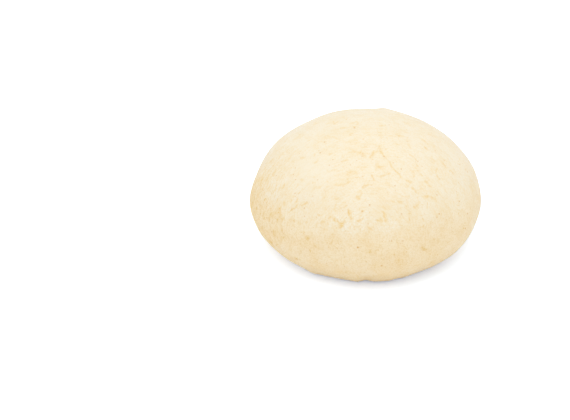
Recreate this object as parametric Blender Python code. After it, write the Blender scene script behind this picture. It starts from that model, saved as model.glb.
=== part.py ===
"""A steamed yeast dumpling: one plain round of dough, risen to a low dome.

The crown is half of a flattened ball. Below the widest level the side turns in to a flat foot,
the spot that the dough was steamed on. Soft dough never sets quite round, so the side has shallow
swells and hollows, the foot's edge is lumpy, and the crown has dents and one low blister.

Metres. The origin is on the ground under the middle of the dumpling: +X right, +Y back, +Z up.
"""

import math

import bmesh
import bpy
import numpy as np
from mathutils import Vector

MM = 0.001
DEGREE = math.pi / 180.0

# Driving sizes.
WIDTH = 90.0 * MM
HEIGHT = 48.7 * MM
WAIST_HEIGHT = 15.7 * MM  # the level where the dumpling is widest
FOOT_WIDTH = 67.5 * MM  # the flat that it stands on

# Under the waist the side is one smooth curve: these are its two handles. The upper one hangs
# straight down from the waist, as a share of the waist's height. The lower one lies level on the
# ground at the foot's edge, as a share of the side's run in from the waist to the foot.
SIDE_DROP = 0.53
FOOT_TUCK = 0.12

# The faces: so many squares along each edge of the cube that is blown up into the dumpling, and
# which share of the way from the top to the middle of the foot reaches the waist and the foot.
SQUARES = 30
WAIST_SHARE = 0.56
FOOT_SHARE = 0.79

# Swells (+) and hollows (-): bearing and half width in degrees, reach in mm. The bearings start
# at the right (+X) and go round by the back. The first list is for the whole side, and the second
# for the narrow lumps along the foot's edge.
SIDE_SWELLS = (
    (20, 11, 0.15),
    (58, 13, 0.25),
    (83, 9, -0.25),
    (105, 10, 0.28),
    (131, 12, -0.28),
    (160, 8, 0.20),
    (187, 7, 0.30),
    (219, 13, -0.30),
    (251, 8, -0.28),
    (281, 7, 0.30),
    (304, 7, -0.35),
    (325, 6, 0.42),
    (344, 9, -0.66),
)
SWELL_TOP = 34.0 * MM  # the level where the swells have died away
FOOT_LUMPS = (
    (14, 4, 0.30),
    (41, 3, -0.30),
    (72, 4, 0.35),
    (97, 3, -0.35),
    (118, 4, 0.30),
    (146, 3, 0.35),
    (173, 4, -0.25),
    (203, 3, 0.25),
    (238, 3, 0.50),
    (264, 3, 0.45),
    (270, 3, -0.55),
    (282, 5, 0.28),
    (294, 3, 0.20),
)
LUMP_TOP = 13.0 * MM  # the level where the foot's lumps have died away

# Dents (+) and blisters (-) of the crown, in mm: place to the right and to the back of the middle
# as seen from above, half width and depth.
CROWN_DENTS = (
    (8.0, 25.0, 3.4, -0.66),
    (-3.0, 26.0, 8.0, 0.30),
    (18.0, 23.5, 6.0, 0.22),
    (30.0, 18.0, 9.0, 0.38),
    (17.0, 4.0, 5.0, 0.14),
    (-9.0, -1.0, 6.0, 0.16),
    (-1.0, -18.3, 3.6, 0.22),
    (1.2, -22.6, 3.2, 0.24),
    (-7.0, -27.5, 4.5, 0.20),
    (18.5, -33.0, 4.0, 0.24),
    (-10.5, -34.5, 3.6, 0.24),
    (-23.0, -31.3, 4.0, 0.20),
    (27.0, -20.0, 6.0, 0.16),
    (-27.0, -12.0, 7.0, 0.20),
    (-24.0, 22.0, 6.0, 0.20),
    (-6.0, 36.0, 4.5, 0.22),
    (18.0, 35.0, 5.0, 0.20),
    (-38.0, 6.0, 5.0, 0.20),
)

# Slow waves that keep the whole skin a little uneven, in mm: length, heading in degrees, height.
SKIN_WAVES = (
    (41.0, 20.0, 0.10),
    (29.0, 78.0, 0.08),
    (21.0, 133.0, 0.06),
)
RELIEF_FOOT = 5.0 * MM  # dents and waves fade out over this height above the ground

DOUGH_COLOUR = (0.94, 0.82, 0.61, 1.0)
DOUGH_ROUGHNESS = 0.55


def ease(amount):
    """0 to 1 in a soft S, for amounts that may lie outside 0 to 1."""
    amount = np.clip(amount, 0.0, 1.0)
    return amount * amount * (3.0 - 2.0 * amount)


def side_view(share):
    """Radius and height of the plain round form, from the top (share 0) to the foot's middle (1)."""
    crown = np.clip(share / WAIST_SHARE, 0.0, 1.0) * math.pi / 2.0
    down = np.clip((share - WAIST_SHARE) / (FOOT_SHARE - WAIST_SHARE), 0.0, 1.0)
    inward = np.clip((share - FOOT_SHARE) / (1.0 - FOOT_SHARE), 0.0, 1.0)
    # The weights of a cubic curve from the waist to the foot's edge.
    leave = (1.0 - down) ** 3
    drop = 3.0 * down * (1.0 - down) ** 2
    tuck = 3.0 * down**2 * (1.0 - down)
    arrive = down**3
    side_reach = (WIDTH - FOOT_WIDTH) / 2.0
    radius = WIDTH / 2.0 * np.sin(crown)
    radius -= side_reach * (tuck * (1.0 - FOOT_TUCK) + arrive)
    radius -= FOOT_WIDTH / 2.0 * inward
    height = WAIST_HEIGHT * (leave + drop * (1.0 - SIDE_DROP))
    height += (HEIGHT - WAIST_HEIGHT) * np.cos(crown)
    height[share >= FOOT_SHARE] = 0.0
    return radius, height


def bulge(bearing, swells):
    """How far a list of swells stands out of the round at each bearing, given in radians."""
    reach = np.zeros_like(bearing)
    for centre, half_width, swell in swells:
        away = np.angle(np.exp(1j * (bearing - centre * DEGREE))) / (half_width * DEGREE)
        reach += swell * MM * np.exp(-away * away)
    return reach


def skin_relief(points):
    """How far dents, blisters and slow waves lift the skin at each point."""
    lift = np.zeros(len(points))
    for right, back, half_width, depth in CROWN_DENTS:
        away = np.hypot(points[:, 0] - right * MM, points[:, 1] - back * MM) / (half_width * MM)
        lift -= depth * MM * np.exp(-away * away)
    for length, heading, height in SKIN_WAVES:
        along = points[:, 0] * math.cos(heading * DEGREE) + points[:, 1] * math.sin(heading * DEGREE)
        lift += height * MM * np.sin(2.0 * math.pi * (along + points[:, 2]) / (length * MM))
    return lift * ease(points[:, 2] / RELIEF_FOOT)


def outward_of(points):
    """The way out of the crown's half ball at each point, level below the waist."""
    waist_radius = WIDTH / 2.0
    crown_height = HEIGHT - WAIST_HEIGHT
    outward = points / waist_radius**2
    outward[:, 2] = np.clip(points[:, 2] - WAIST_HEIGHT, 0.0, None) / crown_height**2
    return outward / np.maximum(np.linalg.norm(outward, axis=1, keepdims=True), 1e-9)


def dough_points(directions):
    """Places on the dumpling's skin for directions from the middle of a ball."""
    bearing = np.arctan2(directions[:, 1], directions[:, 0])
    share = np.arccos(np.clip(directions[:, 2], -1.0, 1.0)) / math.pi
    radius, height = side_view(share)
    swell_fade = 1.0 - ease((height - WAIST_HEIGHT) / (SWELL_TOP - WAIST_HEIGHT))
    lump_fade = 1.0 - ease(height / LUMP_TOP)
    reach = bulge(bearing, SIDE_SWELLS) * swell_fade + bulge(bearing, FOOT_LUMPS) * lump_fade
    radius *= 1.0 + reach / (WIDTH / 2.0)
    points = np.stack((radius * np.cos(bearing), radius * np.sin(bearing), height), axis=1)
    points += outward_of(points) * skin_relief(points)[:, None]
    middle = (points.min(axis=0) + points.max(axis=0)) / 2.0
    points[:, :2] -= middle[:2]
    return points


def even_ball(squares):
    """A ball of radius 1 with six patches of even squares, as a bmesh."""
    ball = bmesh.new()
    bmesh.ops.create_cube(ball, size=2.0)
    bmesh.ops.subdivide_edges(ball, edges=ball.edges[:], cuts=squares - 1, use_grid_fill=True)
    for vert in ball.verts:
        vert.co = Vector([math.tan(side * math.pi / 4.0) for side in vert.co]).normalized()
    return ball


def dough_material():
    material = bpy.data.materials.new("steamed_dough")
    material.use_nodes = True
    material.diffuse_color = DOUGH_COLOUR
    shader = material.node_tree.nodes["Principled BSDF"]
    shader.inputs["Base Color"].default_value = DOUGH_COLOUR
    shader.inputs["Roughness"].default_value = DOUGH_ROUGHNESS
    shader.inputs["Metallic"].default_value = 0.0
    return material


def add_dumpling(collection):
    """The whole dumpling, a ball of squares with each corner moved on to the dough's skin."""
    ball = even_ball(SQUARES)
    directions = np.array([vert.co[:] for vert in ball.verts], dtype=float)
    for vert, place in zip(ball.verts, dough_points(directions)):
        vert.co = place
    mesh = bpy.data.meshes.new("dumpling")
    ball.to_mesh(mesh)
    ball.free()
    mesh.shade_smooth()
    mesh.materials.append(dough_material())
    dumpling = bpy.data.objects.new("dumpling", mesh)
    collection.objects.link(dumpling)
    return dumpling


def main():
    for leftover in list(bpy.data.objects):
        bpy.data.objects.remove(leftover, do_unlink=True)
    collection = bpy.data.collections.new("steamed_yeast_dumpling")
    bpy.context.scene.collection.children.link(collection)
    add_dumpling(collection)


main()
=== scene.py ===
# %% [markdown]
# # A steamed yeast dumpling, dressed over its solid
# The solid already has the right size and the true form: a low dome, a full side and a flat foot.
# What it lacks is skin. Steamed dough has a thin, satin skin that wrinkled a little as it cooled,
# with tan creases, small pores and a mottle that is only seen up close.
#
# The dumpling could be sculpted by hand, or its solid could be subdivided. Here a much finer skin
# is worked out from the same few sizes, so that every dent sits where the solid has it and the
# finer wrinkles are real shape too.

# %% Load the frame
import math

import bmesh
import bpy
import numpy as np
from mathutils import Matrix, Vector


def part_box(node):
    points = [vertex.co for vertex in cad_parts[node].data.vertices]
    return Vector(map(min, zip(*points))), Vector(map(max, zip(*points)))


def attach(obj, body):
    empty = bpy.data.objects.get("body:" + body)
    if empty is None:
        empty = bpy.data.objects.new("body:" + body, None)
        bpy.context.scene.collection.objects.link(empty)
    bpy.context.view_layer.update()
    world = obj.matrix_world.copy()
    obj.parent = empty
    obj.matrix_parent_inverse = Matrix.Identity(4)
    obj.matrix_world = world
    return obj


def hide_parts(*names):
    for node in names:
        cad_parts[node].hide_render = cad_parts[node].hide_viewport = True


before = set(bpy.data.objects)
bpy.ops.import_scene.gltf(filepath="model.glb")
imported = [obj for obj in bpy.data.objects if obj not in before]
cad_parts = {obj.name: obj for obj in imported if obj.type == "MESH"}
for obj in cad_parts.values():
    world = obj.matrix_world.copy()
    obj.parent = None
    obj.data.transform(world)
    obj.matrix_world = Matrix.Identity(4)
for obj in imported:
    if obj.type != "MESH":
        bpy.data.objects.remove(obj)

MM = 0.001
DEGREE = math.pi / 180.0
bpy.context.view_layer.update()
solid_low, solid_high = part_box("dumpling")
solid_size = solid_high - solid_low
print("solid, mm:", [round(side / MM, 1) for side in solid_size])

# %% [markdown]
# ## The sizes that make the plain round
# The solid says how wide and how high the dumpling is. The rest are shares of those two: where it
# is widest, how wide its foot is, and how the side turns in. Chance lumps make the solid a little
# wider than the plain round, so the round's own sizes are set just inside it.

# %% Sizes
WIDTH = solid_size.x * 90.0 / 90.34  # the plain round is 90.0 mm where the solid is 90.34
HEIGHT = solid_size.z * 48.7 / 48.76
WAIST_HEIGHT = HEIGHT * 15.7 / 48.7  # the level where it is widest
FOOT_WIDTH = WIDTH * 0.75  # the flat that it stands on
# Under the waist the side is one smooth curve with two handles. The upper one hangs straight down
# from the waist, as a share of the waist's height. The lower one lies level on the ground, as a
# share of the side's run in to the foot.
SIDE_DROP = 0.53
FOOT_TUCK = 0.12
print("plain round, mm:", round(WIDTH / MM, 2), "across and", round(HEIGHT / MM, 2), "high")

# %% [markdown]
# ## Camera
# The photograph looks down at 30 degrees from the front through a long lens, and the dumpling sits
# right of the picture's middle. A shifted lens could put it there. Turning the camera a few degrees
# about its own axes does the same and leaves the lens plain, so other views stay centred.

# %% Camera
PICTURE = Vector((570.0, 420.0))
DUMPLING_AT = Vector((365.3, 180.1))  # where the dumpling's middle is in the picture
DUMPLING_SPAN = 231.2  # how wide the dumpling is in the picture
LOOK_DOWN = 30.0 * DEGREE
CAMERA_WIDTHS_AWAY = 6.0  # how far off the camera is, in widths of the dumpling
SENSOR = 36.0  # mm, as in a plain still camera
NEAREST_SEEN = 10.0 * MM


def add_camera():
    target = Vector((0.0, 0.0, HEIGHT / 2.0))
    away = WIDTH * CAMERA_WIDTHS_AWAY
    toward_camera = Vector((0.0, -math.cos(LOOK_DOWN), math.sin(LOOK_DOWN)))
    pixels_per_slope = DUMPLING_SPAN * CAMERA_WIDTHS_AWAY
    offset = DUMPLING_AT - PICTURE / 2.0
    pan = Matrix.Rotation(math.atan(offset.x / pixels_per_slope), 4, "Y")
    tilt = Matrix.Rotation(math.atan(offset.y / pixels_per_slope), 4, "X")
    aim = toward_camera.to_track_quat("Z", "Y").to_matrix().to_4x4()
    lens = bpy.data.cameras.new("long_lens")
    lens.sensor_fit = "HORIZONTAL"
    lens.sensor_width = SENSOR
    lens.lens = SENSOR * pixels_per_slope / PICTURE.x
    lens.clip_start = NEAREST_SEEN
    camera = bpy.data.objects.new("camera", lens)
    camera.matrix_world = Matrix.Translation(target + toward_camera * away) @ aim @ pan @ tilt
    bpy.context.scene.collection.objects.link(camera)
    bpy.context.scene.camera = camera
    print("lens, mm:", round(lens.lens, 1), "at", round(away, 3), "m")
    return toward_camera


TOWARD_CAMERA = add_camera()

# %% [markdown]
# ## A few helpers for materials
# A material is a tree of nodes, and each node takes several lines to make, set and link. These short
# functions make the kinds that come up again and again. Each takes plain values or the outputs of
# other nodes and gives back its own output, so that a material reads like a sum.

# %% Helpers for colours
# A Mix node has a pair of sockets for each kind of value. These are its two colours and its result.
MIX_FIRST, MIX_SECOND, MIX_RESULT = 6, 7, 2


def principled(name, colour, roughness):
    """A new material and its Principled shader."""
    material = bpy.data.materials.new(name)
    material.use_nodes = True
    shader = material.node_tree.nodes["Principled BSDF"]
    shader.inputs["Base Color"].default_value = colour
    shader.inputs["Roughness"].default_value = roughness
    return material, shader


def own_place(tree):
    """Where each spot is, in the space of the piece itself."""
    return tree.nodes.new("ShaderNodeTexCoord").outputs["Object"]


def axes(tree, vector):
    """A vector's X, Y and Z, each an output by that name."""
    node = tree.nodes.new("ShaderNodeSeparateXYZ")
    tree.links.new(vector, node.inputs["Vector"])
    return node.outputs


def feed(tree, socket, value):
    """Sets a socket to a plain number, vector or colour, or links it to another node's output."""
    if isinstance(value, (int, float, tuple)):
        socket.default_value = value
    else:
        tree.links.new(value, socket)


def span(tree, value, low, high, to_low=0.0, to_high=1.0):
    """Stretches low..high to to_low..to_high, with soft ends."""
    node = tree.nodes.new("ShaderNodeMapRange")
    node.interpolation_type = "SMOOTHSTEP"
    node.inputs["From Min"].default_value = low
    node.inputs["From Max"].default_value = high
    node.inputs["To Min"].default_value = to_low
    node.inputs["To Max"].default_value = to_high
    tree.links.new(value, node.inputs["Value"])
    return node.outputs["Result"]


def blend(tree, amount, first, second):
    """The first colour where the amount is 0, the second where it is 1."""
    node = tree.nodes.new("ShaderNodeMix")
    node.data_type = "RGBA"
    feed(tree, node.inputs["Factor"], amount)
    feed(tree, node.inputs[MIX_FIRST], first)
    feed(tree, node.inputs[MIX_SECOND], second)
    return node.outputs[MIX_RESULT]


print("helpers for colours are ready")

# %% [markdown]
# ## Floor and light
# The dumpling stands on a white table in soft studio light. Nearly all of it comes from all round,
# and a wide panel overhead makes the crown a little brighter than the side. A table this white is
# overexposed, which leaves only a tight shadow where the dough meets it. More light would do that,
# but it would bleach the dough too. So the camera alone sees a floor that is whiter than white and a
# brighter sky. This floor also glows for the camera, less to the right, which is a painted shadow,
# deeper on that side. The dough is lit by the plain floor and the plain sky, and the plain colour
# transform keeps it pale.

# %% Floor
FLOOR_SIZE = 6.0  # metres
FLOOR_GAP = 0.05 * MM  # under the foot, so that the two don't lie in one plane
FLOOR_WHITE = (0.960, 0.960, 0.960, 1.0)
FLOOR_SEEN = (1.17, 1.27, 1.30, 1.0)  # the overexposed white that the camera sees
FLOOR_ROUGHNESS = 0.9
FLOOR_GLOW = (0.150, 0.200, 0.332, 1.0)
# The weaker glow on the right paints a deeper shadow on that side.
FLOOR_GLOW_IN_PAINTED_SHADOW = (0.055, 0.105, 0.237, 1.0)
PAINTED_SHADOW_FADE = (-30.0 * MM, 45.0 * MM)  # from where to where the glow fades off to the right: a painted shadow, deeper there


def floor_finish():
    material, shader = principled("white_floor", FLOOR_WHITE, FLOOR_ROUGHNESS)
    tree = material.node_tree
    seen_by_camera = tree.nodes.new("ShaderNodeLightPath").outputs["Is Camera Ray"]
    white = blend(tree, seen_by_camera, FLOOR_WHITE, FLOOR_SEEN)
    # Painted shadow: the glow fades off to the right, so the floor looks more shaded there.
    painted_shadow = span(tree, axes(tree, own_place(tree))["X"], *PAINTED_SHADOW_FADE)
    glow = blend(tree, painted_shadow, FLOOR_GLOW, FLOOR_GLOW_IN_PAINTED_SHADOW)
    tree.links.new(white, shader.inputs["Base Color"])
    tree.links.new(glow, shader.inputs["Emission Color"])
    tree.links.new(seen_by_camera, shader.inputs["Emission Strength"])
    shader.inputs["Specular IOR Level"].default_value = 0.0
    return material


def add_floor():
    mesh = bpy.data.meshes.new("floor")
    sheet = bmesh.new()
    bmesh.ops.create_grid(sheet, x_segments=1, y_segments=1, size=FLOOR_SIZE / 2.0)
    sheet.to_mesh(mesh)
    sheet.free()
    mesh.materials.append(floor_finish())
    floor = bpy.data.objects.new("floor", mesh)
    floor.location.z = solid_low.z - FLOOR_GAP
    bpy.context.scene.collection.objects.link(floor)
    print("floor, m:", FLOOR_SIZE, "across, at", round(floor.location.z, 5))


add_floor()

# %% Light
SKY_WHITE = (1.0, 1.0, 1.0, 1.0)
SKY_LIGHT = 0.80  # how strongly it lights
SKY_SEEN = 1.6  # how bright the camera sees it
PANEL_SIDE = 1.2  # metres
PANEL_POWER = 3.15  # watts
PANEL_AT = Vector((0.0, -0.10, 0.90))


def add_sky():
    world = bpy.data.worlds.new("studio")
    world.use_nodes = True
    tree = world.node_tree
    sky = tree.nodes["Background"]
    sky.inputs["Color"].default_value = SKY_WHITE
    path = tree.nodes.new("ShaderNodeLightPath")
    strength = tree.nodes.new("ShaderNodeMix")
    strength.inputs["A"].default_value = SKY_LIGHT
    strength.inputs["B"].default_value = SKY_SEEN
    tree.links.new(path.outputs["Is Camera Ray"], strength.inputs["Factor"])
    tree.links.new(strength.outputs["Result"], sky.inputs["Strength"])
    bpy.context.scene.world = world


def add_panel():
    light = bpy.data.lights.new("panel_above", "AREA")
    light.shape = "SQUARE"
    light.size = PANEL_SIDE
    light.energy = PANEL_POWER
    panel = bpy.data.objects.new("panel_above", light)
    panel.location = PANEL_AT
    panel.rotation_mode = "QUATERNION"
    panel.rotation_quaternion = PANEL_AT.to_track_quat("Z", "Y")
    bpy.context.scene.collection.objects.link(panel)


add_sky()
add_panel()
bpy.context.scene.view_settings.view_transform = "Standard"
print("sky:", SKY_LIGHT, "and panel, W:", PANEL_POWER)

# %% [markdown]
# ## The plain round, seen from the side
# A turned form needs only its side view. The crown is a quarter of an ellipse, the side below the
# widest level is one cubic curve, and the foot is flat. Each is a few lines of arithmetic, which
# bends more smoothly than a profile drawn point by point. A share of 0 is the top and 1 is the
# middle of the foot.

# %% Side view
WAIST_SHARE = 0.62  # the share of the way that reaches the waist
FOOT_SHARE = 0.86  # and the one that reaches the foot's edge


def ease(amount):
    """0 to 1 in a soft S, for amounts that may lie outside 0 to 1."""
    amount = np.clip(amount, 0.0, 1.0)
    return amount * amount * (3.0 - 2.0 * amount)


def side_view(share):
    """Radius and height of the plain round at each share of the way from top to foot."""
    crown = np.clip(share / WAIST_SHARE, 0.0, 1.0) * math.pi / 2.0
    down = np.clip((share - WAIST_SHARE) / (FOOT_SHARE - WAIST_SHARE), 0.0, 1.0)
    inward = np.clip((share - FOOT_SHARE) / (1.0 - FOOT_SHARE), 0.0, 1.0)
    # The weights of a cubic curve from the waist to the foot's edge.
    leave = (1.0 - down) ** 3
    drop = 3.0 * down * (1.0 - down) ** 2
    tuck = 3.0 * down**2 * (1.0 - down)
    arrive = down**3
    side_reach = (WIDTH - FOOT_WIDTH) / 2.0
    radius = WIDTH / 2.0 * np.sin(crown)
    radius -= side_reach * (tuck * (1.0 - FOOT_TUCK) + arrive)
    radius -= FOOT_WIDTH / 2.0 * inward
    height = WAIST_HEIGHT * (leave + drop * (1.0 - SIDE_DROP))
    height += (HEIGHT - WAIST_HEIGHT) * np.cos(crown)
    height[share >= FOOT_SHARE] = 0.0
    return radius, height


for name, share in (("top", 0.0), ("waist", WAIST_SHARE), ("foot's edge", FOOT_SHARE)):
    reach, level = side_view(np.array([share]))
    print(f"{name}: {reach[0] / MM:.1f} mm out, {level[0] / MM:.1f} mm up")

# %% [markdown]
# ## Swells, lumps and dents
# Risen dough is never quite round. The solid has broad swells round its side, narrow lumps along
# the foot's edge, shallow dents in the crown and one low blister at the back. The skin repeats
# them from the same short lists. Each is a soft bell curve, which leaves no edge where it ends.

# %% The lists of swells and dents
# Bearing and half width in degrees, and reach in mm. The bearings start at the right and go round
# by the back.
SIDE_SWELLS = (
    (20, 11, 0.15),
    (58, 13, 0.25),
    (83, 9, -0.25),
    (105, 10, 0.28),
    (131, 12, -0.28),
    (160, 8, 0.20),
    (187, 7, 0.30),
    (219, 13, -0.30),
    (251, 8, -0.28),
    (281, 7, 0.30),
    (304, 7, -0.35),
    (325, 6, 0.42),
    (344, 9, -0.66),
)
SWELL_TOP = 34.0 * MM  # the level where the swells have died away
FOOT_LUMPS = (
    (14, 4, 0.30),
    (41, 3, -0.30),
    (72, 4, 0.35),
    (97, 3, -0.35),
    (118, 4, 0.30),
    (146, 3, 0.35),
    (173, 4, -0.25),
    (203, 3, 0.25),
    (238, 3, 0.50),
    (264, 3, 0.45),
    (270, 3, -0.55),
    (282, 5, 0.28),
    (294, 3, 0.20),
)
LUMP_TOP = 13.0 * MM  # the level where the foot's lumps have died away
# The narrowest nicks and lumps, too fine for the solid, close to the foot's edge.
FOOT_NICKS = (
    (236, 4.0, 0.40),
    (265, 1.8, 0.22),
    (270.7, 2.0, -0.42),
    (276, 3.0, 0.18),
    (284, 2.4, 0.32),
    (292, 1.8, 0.25),
)
NICK_TOP = 11.0 * MM  # the level where they have died away
# Dents (+) and one blister (-): place to the right and to the back of the middle, half width and
# depth, all in mm.
CROWN_DENTS = (
    (8.0, 25.0, 3.4, -0.66),
    (-3.0, 26.0, 8.0, 0.30),
    (18.0, 23.5, 6.0, 0.22),
    (30.0, 18.0, 9.0, 0.38),
    (17.0, 4.0, 5.0, 0.14),
    (-9.0, -1.0, 6.0, 0.16),
    (-1.0, -18.3, 3.6, 0.22),
    (1.2, -22.6, 3.2, 0.24),
    (-7.0, -27.5, 4.5, 0.20),
    (18.5, -33.0, 4.0, 0.24),
    (-10.5, -34.5, 3.6, 0.24),
    (-23.0, -31.3, 4.0, 0.20),
    (27.0, -20.0, 6.0, 0.16),
    (-27.0, -12.0, 7.0, 0.20),
    (-24.0, 22.0, 6.0, 0.20),
    (-6.0, 36.0, 4.5, 0.22),
    (18.0, 35.0, 5.0, 0.20),
    (-38.0, 6.0, 5.0, 0.20),
)
# Slow waves all over: length in mm, heading in degrees, height in mm.
SKIN_WAVES = (
    (41.0, 20.0, 0.10),
    (29.0, 78.0, 0.08),
    (21.0, 133.0, 0.06),
)
RELIEF_FOOT = 5.0 * MM  # dents and waves fade out over this height above the ground
# Dents too fine or too shallow for the solid, as above: along the back of the crown, either side
# of the blister, and in the right flank.
FINE_DENTS = (
    (-2.0, 27.0, 22.0, 0.24),
    (3.4, 26.5, 2.0, 0.15),
    (9.8, 25.5, 2.2, 0.24),
    (43.0, 4.0, 12.0, 0.20),
)
print("swells:", len(SIDE_SWELLS), "lumps:", len(FOOT_LUMPS), "dents:", len(CROWN_DENTS))

# %% The dough's own form
def bulge(bearing, swells):
    """How far a list of swells stands out of the round at each bearing, given in radians."""
    reach = np.zeros_like(bearing)
    for centre, half_width, swell in swells:
        away = np.angle(np.exp(1j * (bearing - centre * DEGREE))) / (half_width * DEGREE)
        reach += swell * MM * np.exp(-away * away)
    return reach


def dents(points, listed):
    """How far each point of the skin is lifted: by less than nothing in a dent."""
    lift = np.zeros(len(points))
    for right, back, half_width, depth in listed:
        away = np.hypot(points[:, 0] - right * MM, points[:, 1] - back * MM) / (half_width * MM)
        lift -= depth * MM * np.exp(-away * away)
    return lift * ease(points[:, 2] / RELIEF_FOOT)


def slow_relief(points):
    """How far dents, the blister and slow waves lift the skin at each point."""
    lift = np.zeros(len(points))
    for length, heading, height in SKIN_WAVES:
        along = points[:, 0] * math.cos(heading * DEGREE) + points[:, 1] * math.sin(heading * DEGREE)
        lift += height * MM * np.sin(2.0 * math.pi * (along + points[:, 2]) / (length * MM))
    return lift * ease(points[:, 2] / RELIEF_FOOT) + dents(points, CROWN_DENTS)


def outward_of(points):
    """The way out of the crown's half ball at each point, level below the waist."""
    outward = points / (WIDTH / 2.0) ** 2
    outward[:, 2] = np.clip(points[:, 2] - WAIST_HEIGHT, 0.0, None) / (HEIGHT - WAIST_HEIGHT) ** 2
    return outward / np.maximum(np.linalg.norm(outward, axis=1, keepdims=True), 1e-9)


def dough_points(directions):
    """Places on the dough for directions from the middle of a ball."""
    bearing = np.arctan2(directions[:, 1], directions[:, 0])
    share = np.arccos(np.clip(directions[:, 2], -1.0, 1.0)) / math.pi
    radius, height = side_view(share)
    swell_fade = 1.0 - ease((height - WAIST_HEIGHT) / (SWELL_TOP - WAIST_HEIGHT))
    lump_fade = 1.0 - ease(height / LUMP_TOP)
    nick_fade = 1.0 - ease(height / NICK_TOP)
    reach = bulge(bearing, SIDE_SWELLS) * swell_fade + bulge(bearing, FOOT_LUMPS) * lump_fade
    reach += bulge(bearing, FOOT_NICKS) * nick_fade
    radius *= 1.0 + reach / (WIDTH / 2.0)
    points = np.stack((radius * np.cos(bearing), radius * np.sin(bearing), height), axis=1)
    points += outward_of(points) * slow_relief(points)[:, None]
    middle = (points.min(axis=0) + points.max(axis=0)) / 2.0
    points[:, :2] -= middle[:2]
    return points


lift_at_top = slow_relief(np.array(((0.0, 0.0, HEIGHT),)))[0]
print("the top of the crown is lifted, mm:", round(float(lift_at_top) / MM, 2))

# %% [markdown]
# ## An even net of squares
# A ball made of rings crowds its squares at the top, just where the skin is looked at most. A cube
# blown up into a ball has six patches of nearly even squares and no such point. This one has a
# square about every half millimetre, so a wrinkle one millimetre wide is real shape.

# %% The net
SQUARES = 128  # along each edge of the cube


def even_cube(squares):
    """A cube from -1 to 1 with each face cut into even squares, as a bmesh."""
    cube = bmesh.new()
    bmesh.ops.create_cube(cube, size=2.0)
    bmesh.ops.subdivide_edges(cube, edges=cube.edges[:], cuts=squares - 1, use_grid_fill=True)
    return cube


cube = even_cube(SQUARES)
mesh = bpy.data.meshes.new("dough_skin")
cube.to_mesh(mesh)
cube.free()
on_cube = np.empty(len(mesh.vertices) * 3)
mesh.vertices.foreach_get("co", on_cube)
# Blown up into a ball: the tangent keeps the squares even from the middle of a face to its edge.
directions = np.tan(on_cube.reshape(-1, 3) * math.pi / 4.0)
directions /= np.linalg.norm(directions, axis=1, keepdims=True)
dough = dough_points(directions)
dough += outward_of(dough) * dents(dough, FINE_DENTS)[:, None]


def shape_skin(points):
    """Moves the mesh's points and gives back the way out of the skin at each."""
    mesh.vertices.foreach_set("co", points.ravel())
    mesh.update()
    outward = np.empty(len(points) * 3)
    mesh.vertex_normals.foreach_get("vector", outward)
    return outward.reshape(-1, 3)


outward = shape_skin(dough)
print("net:", len(mesh.polygons), "squares")

# %% [markdown]
# ## Soft unevenness
# Up close, steamed skin is never smooth: it rises and falls by a few hundredths of a millimetre
# over a few millimetres. A noise texture would do. But many small waves with seeded headings give the
# same random swell in a few lines, for every point at once, and they are the same on every run.

# %% Many small waves
SLOW_LENGTHS = (7.0, 13.0)  # the shortest and the longest, in mm
QUICK_LENGTHS = (2.4, 4.8)


def many_waves(points, shortest, longest, seed, count=40):
    """Random unevenness of size 1: small waves of seeded headings and lengths, added up."""
    draw = np.random.default_rng(seed)
    total = np.zeros(len(points))
    for _ in range(count):
        heading = draw.normal(size=3)
        heading /= np.linalg.norm(heading)
        length = draw.uniform(shortest, longest) * MM
        total += np.sin(2.0 * math.pi * (points @ heading / length + draw.uniform()))
    return total / math.sqrt(count / 2.0)


slow = many_waves(dough, *SLOW_LENGTHS, seed=11)
quick = many_waves(dough, *QUICK_LENGTHS, seed=12)
print("waves: slow", round(float(slow.std()), 2), "quick", round(float(quick.std()), 2))
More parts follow.
